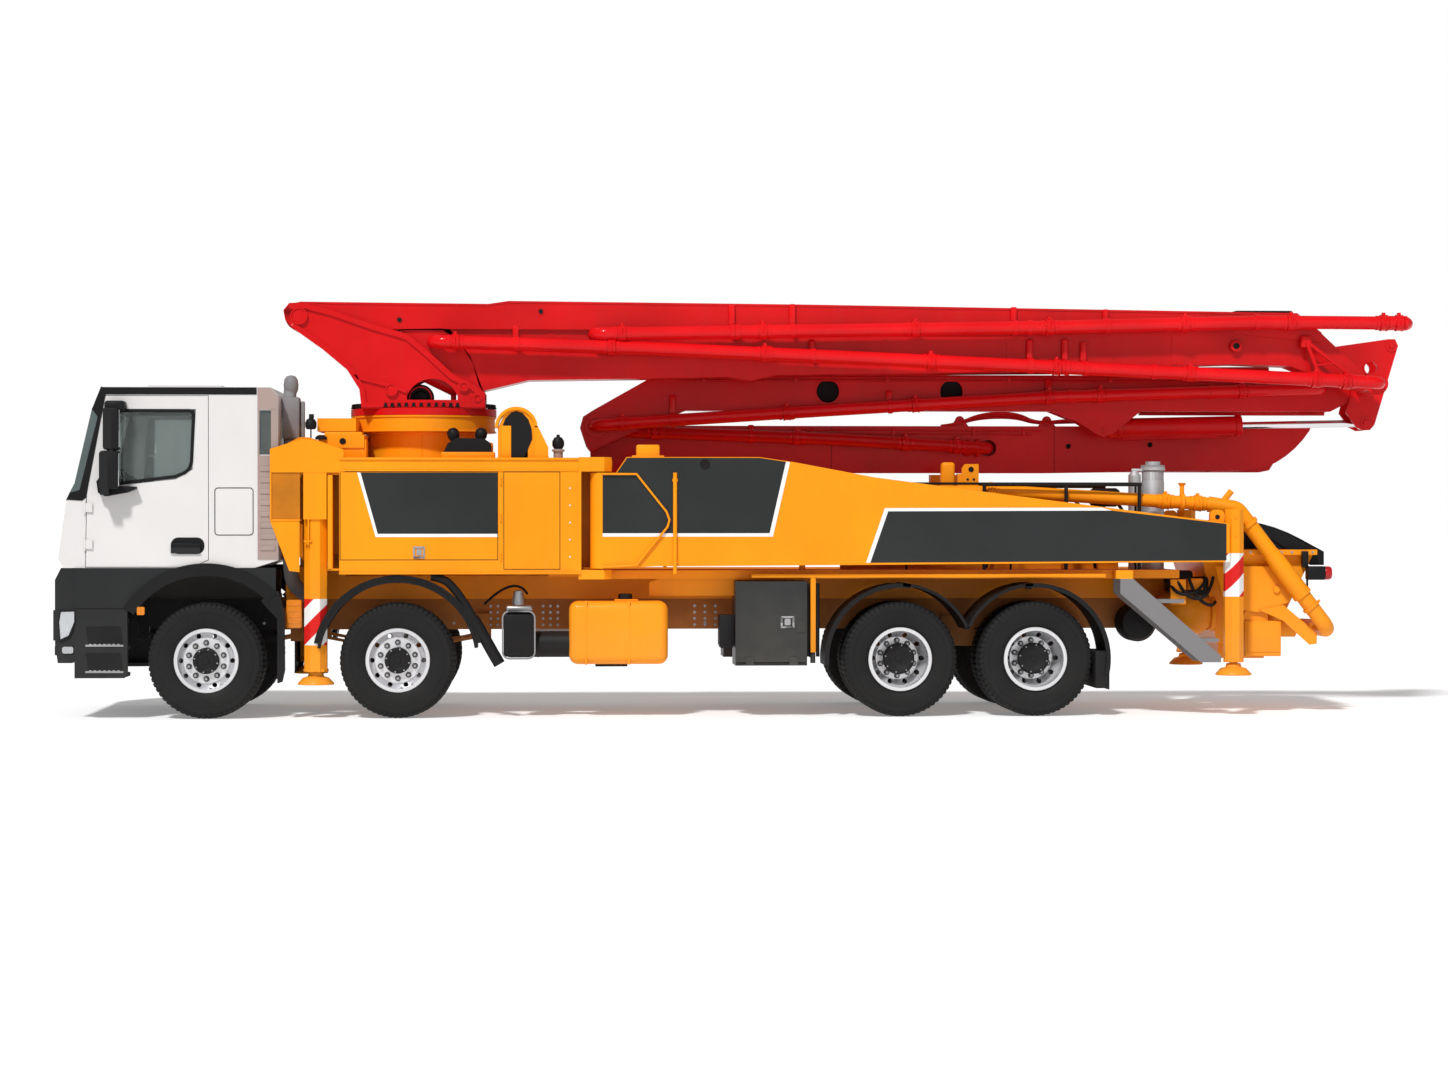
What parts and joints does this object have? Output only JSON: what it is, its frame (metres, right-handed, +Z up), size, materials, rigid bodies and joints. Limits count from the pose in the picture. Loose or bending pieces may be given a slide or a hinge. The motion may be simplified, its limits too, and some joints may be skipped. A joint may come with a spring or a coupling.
{
  "type": "concrete pump truck",
  "caption": "Four-axle concrete pump truck with a red folding boom on a turret, yellow support legs and a rear hopper.",
  "frame": {"origin": "on the ground under the middle of the bounding box", "axes": "+Z up, -X towards the front of the truck, -Y towards the driver's (left) side"},
  "size_m": [12.94, 2.9, 3.929],
  "materials": {
    "boom_red": "gloss red paint",
    "body_yellow": "gloss orange-yellow paint",
    "cab_white": "gloss white paint",
    "dark_grey": "satin dark grey paint",
    "black_plastic": "textured black",
    "rim_silver": "silver paint",
    "tyre_rubber": "worn tread rubber",
    "chrome_rod": "polished",
    "glazing": "tinted",
    "cast_steel": "cast and painted"
  },
  "bodies": {
    "chassis": {"chassis_frame": "dark_grey", "engine_block": "cast_steel", "front_axles": "cast_steel", "rear_axles": "cast_steel", "cab_shell": "cab_white", "cab_windows": "glazing", "cab_interior": "black_plastic", "front_bumper": "dark_grey", "mudguards": "black_plastic", "side_tanks": "body_yellow", "tool_box": "dark_grey", "support_frame": "body_yellow", "deck": "body_yellow", "hopper": "body_yellow", "pump_unit": "body_yellow"},
    "wheel_1_left": {"tyre_1_left": "tyre_rubber", "rim_1_left": "rim_silver"},
    "knuckle_1_left": {"knuckle_1_left": "cast_steel"},
    "wheel_1_right": {"tyre_1_right": "tyre_rubber", "rim_1_right": "rim_silver"},
    "knuckle_1_right": {"knuckle_1_right": "cast_steel"},
    "wheel_2_left": {"tyre_2_left": "tyre_rubber", "rim_2_left": "rim_silver"},
    "knuckle_2_left": {"knuckle_2_left": "cast_steel"},
    "wheel_2_right": {"tyre_2_right": "tyre_rubber", "rim_2_right": "rim_silver"},
    "knuckle_2_right": {"knuckle_2_right": "cast_steel"},
    "wheel_3_left": {"tyre_3_left": "tyre_rubber", "rim_3_left": "rim_silver"},
    "wheel_3_right": {"tyre_3_right": "tyre_rubber", "rim_3_right": "rim_silver"},
    "wheel_4_left": {"tyre_4_left": "tyre_rubber", "rim_4_left": "rim_silver"},
    "wheel_4_right": {"tyre_4_right": "tyre_rubber", "rim_4_right": "rim_silver"},
    "cab_door_left": {"cab_door_left": "cab_white"},
    "front_leg_left": {"front_leg_left": "body_yellow"},
    "front_jack_left": {"front_jack_left": "body_yellow"},
    "rear_leg_left": {"rear_leg_left": "body_yellow"},
    "rear_jack_left": {"rear_jack_left": "body_yellow"},
    "cab_door_right": {"cab_door_right": "cab_white"},
    "front_leg_right": {"front_leg_right": "body_yellow"},
    "front_jack_right": {"front_jack_right": "body_yellow"},
    "rear_leg_right": {"rear_leg_right": "body_yellow"},
    "rear_jack_right": {"rear_jack_right": "body_yellow"},
    "tool_box_door": {"tool_box_door": "dark_grey"},
    "hopper_lid": {"hopper_lid": "black_plastic"},
    "turret": {"turret": "boom_red"},
    "arm_1": {"arm_1": "boom_red", "arm_1_pipes": "boom_red"},
    "arm_2": {"arm_2": "boom_red", "arm_2_pipe": "boom_red"},
    "arm_3": {"arm_3": "boom_red"},
    "arm_4": {"arm_4": "boom_red"},
    "arm_5": {"arm_5": "boom_red"},
    "lift_barrel": {"lift_barrel": "boom_red"},
    "lift_rod": {"lift_rod": "chrome_rod"},
    "arm_2_barrel": {"arm_2_barrel": "boom_red"},
    "arm_2_rod": {"arm_2_rod": "chrome_rod"},
    "arm_2_rocker": {"arm_2_rocker": "boom_red"}
  },
  "joints": [
    {"name": "steer_1_left", "type": "hinge", "parent": "chassis", "child": "knuckle_1_left", "pos_m": [-5.067, -0.9, 0.538], "axis": [0, 0, 1], "range_deg": [-35, 35]},
    {"name": "wheel_1_left_roll", "type": "hinge", "parent": "knuckle_1_left", "child": "wheel_1_left", "pos_m": [-5.067, -1.0575, 0.538], "axis": [0, 1, 0], "continuous": true},
    {"name": "steer_1_right", "type": "hinge", "parent": "chassis", "child": "knuckle_1_right", "pos_m": [-5.067, 0.9, 0.538], "axis": [0, 0, 1], "range_deg": [-35, 35]},
    {"name": "wheel_1_right_roll", "type": "hinge", "parent": "knuckle_1_right", "child": "wheel_1_right", "pos_m": [-5.067, 1.0575, 0.538], "axis": [0, 1, 0], "continuous": true},
    {"name": "steer_2_left", "type": "hinge", "parent": "chassis", "child": "knuckle_2_left", "pos_m": [-3.299, -0.9, 0.538], "axis": [0, 0, 1], "range_deg": [-26.25, 26.25]},
    {"name": "wheel_2_left_roll", "type": "hinge", "parent": "knuckle_2_left", "child": "wheel_2_left", "pos_m": [-3.299, -1.0575, 0.538], "axis": [0, 1, 0], "continuous": true},
    {"name": "steer_2_right", "type": "hinge", "parent": "chassis", "child": "knuckle_2_right", "pos_m": [-3.299, 0.9, 0.538], "axis": [0, 0, 1], "range_deg": [-26.25, 26.25]},
    {"name": "wheel_2_right_roll", "type": "hinge", "parent": "knuckle_2_right", "child": "wheel_2_right", "pos_m": [-3.299, 1.0575, 0.538], "axis": [0, 1, 0], "continuous": true},
    {"name": "wheel_3_left_roll", "type": "hinge", "parent": "chassis", "child": "wheel_3_left", "pos_m": [1.393, -0.92, 0.538], "axis": [0, 1, 0], "continuous": true},
    {"name": "wheel_3_right_roll", "type": "hinge", "parent": "chassis", "child": "wheel_3_right", "pos_m": [1.393, 0.92, 0.538], "axis": [0, 1, 0], "continuous": true},
    {"name": "wheel_4_left_roll", "type": "hinge", "parent": "chassis", "child": "wheel_4_left", "pos_m": [2.67, -0.92, 0.538], "axis": [0, 1, 0], "continuous": true},
    {"name": "wheel_4_right_roll", "type": "hinge", "parent": "chassis", "child": "wheel_4_right", "pos_m": [2.67, 0.92, 0.538], "axis": [0, 1, 0], "continuous": true},
    {"name": "cab_door_left_hinge", "type": "hinge", "parent": "chassis", "child": "cab_door_left", "pos_m": [-6.178, -1.227, 1.79], "axis": [0, 0, -1], "range_deg": [0, 75]},
    {"name": "front_leg_left_slide", "type": "slide", "parent": "chassis", "child": "front_leg_left", "axis": [0, -1, 0], "range_m": [0, 1.8]},
    {"name": "front_jack_left_slide", "type": "slide", "parent": "front_leg_left", "child": "front_jack_left", "axis": [0, 0, -1], "range_m": [0, 0.312]},
    {"name": "rear_leg_left_swing", "type": "hinge", "parent": "chassis", "child": "rear_leg_left", "pos_m": [-1.4, -1.13, 1.8], "axis": [0, 0, -1], "range_deg": [0, 90]},
    {"name": "rear_jack_left_slide", "type": "slide", "parent": "rear_leg_left", "child": "rear_jack_left", "axis": [0, 0, -1], "range_m": [0, 0.374]},
    {"name": "cab_door_right_hinge", "type": "hinge", "parent": "chassis", "child": "cab_door_right", "pos_m": [-6.178, 1.227, 1.79], "axis": [0, 0, 1], "range_deg": [0, 75]},
    {"name": "front_leg_right_slide", "type": "slide", "parent": "chassis", "child": "front_leg_right", "axis": [0, 1, 0], "range_m": [0, 1.8]},
    {"name": "front_jack_right_slide", "type": "slide", "parent": "front_leg_right", "child": "front_jack_right", "axis": [0, 0, -1], "range_m": [0, 0.312]},
    {"name": "rear_leg_right_swing", "type": "hinge", "parent": "chassis", "child": "rear_leg_right", "pos_m": [-1.4, 1.13, 1.8], "axis": [0, 0, 1], "range_deg": [0, 90]},
    {"name": "rear_jack_right_slide", "type": "slide", "parent": "rear_leg_right", "child": "rear_jack_right", "axis": [0, 0, -1], "range_m": [0, 0.374]},
    {"name": "tool_box_door_hinge", "type": "hinge", "parent": "chassis", "child": "tool_box_door", "pos_m": [0.1835, -1.2303, 0.492], "axis": [1, 0, 0], "range_deg": [0, 90]},
    {"name": "hopper_lid_hinge", "type": "hinge", "parent": "chassis", "child": "hopper_lid", "pos_m": [5.475, 0, 1.562], "axis": [0, 1, 0], "range_deg": [0, 110]},
    {"name": "turret_slew", "type": "hinge", "parent": "chassis", "child": "turret", "pos_m": [-3.1, 0, 2.84], "axis": [0, 0, -1], "range_deg": [-185, 185]},
    {"name": "boom_lift", "type": "hinge", "parent": "turret", "child": "arm_1", "pos_m": [-4.257, -0.305, 3.775], "axis": [0, -1, 0], "range_deg": [0, 88]},
    {"name": "arm_2_fold", "type": "hinge", "parent": "arm_1", "child": "arm_2", "pos_m": [6.11, 0.23, 3.165], "axis": [0, 1, 0], "range_deg": [0, 180]},
    {"name": "arm_3_fold", "type": "hinge", "parent": "arm_2", "child": "arm_3", "pos_m": [-1.43, 0.6, 2.762], "axis": [0, -1, 0], "range_deg": [0, 172]},
    {"name": "arm_4_fold", "type": "hinge", "parent": "arm_3", "child": "arm_4", "pos_m": [5.42, 0.799, 2.63], "axis": [0, 1, 0], "range_deg": [0, 180]},
    {"name": "arm_5_fold", "type": "hinge", "parent": "arm_4", "child": "arm_5", "pos_m": [-0.75, 0.799, 2.56], "axis": [0, -1, 0], "range_deg": [0, 168]},
    {"name": "lift_barrel_pivot", "type": "hinge", "parent": "turret", "child": "lift_barrel", "pos_m": [-2.698, -0.305, 3.07], "axis": [0, 1, 0], "range_deg": [-2, 18]},
    {"name": "lift_rod_slide", "type": "slide", "parent": "lift_barrel", "child": "lift_rod", "axis": [-0.8994, 0, 0.4371], "range_m": [0, 0.64]},
    {"name": "arm_2_barrel_pivot", "type": "hinge", "parent": "arm_2", "child": "arm_2_barrel", "pos_m": [3.554, 0.23, 2.745], "axis": [0, -1, 0], "range_deg": [-1, 3]},
    {"name": "arm_2_rod_slide", "type": "slide", "parent": "arm_2_barrel", "child": "arm_2_rod", "axis": [0.9998, 0, 0.0212], "range_m": [-0.01, 0.17]},
    {"name": "arm_2_rocker_pivot", "type": "hinge", "parent": "arm_2", "child": "arm_2_rocker", "pos_m": [6.11, 0.23, 3.165], "axis": [0, -1, 0], "range_deg": [-1, 28]}
  ],
  "couplings": [
    {"joint": "steer_1_right", "follows": "steer_1_left", "ratio": 1},
    {"joint": "steer_2_left", "follows": "steer_1_left", "ratio": 0.75},
    {"joint": "steer_2_right", "follows": "steer_1_left", "ratio": 0.75},
    {"joint": "turret_slew", "follows": "boom_lift", "ratio": 2.1},
    {"joint": "lift_barrel_pivot", "follows": "boom_lift", "ratio": 0.17505},
    {"joint": "lift_rod_slide", "follows": "boom_lift", "m_per_rad": 0.40294},
    {"joint": "arm_2_barrel_pivot", "follows": "arm_2_fold", "ratio": 0.0063},
    {"joint": "arm_2_rod_slide", "follows": "arm_2_fold", "m_per_rad": 0.0516},
    {"joint": "arm_2_rocker_pivot", "follows": "arm_2_fold", "ratio": 0.15}
  ]
}
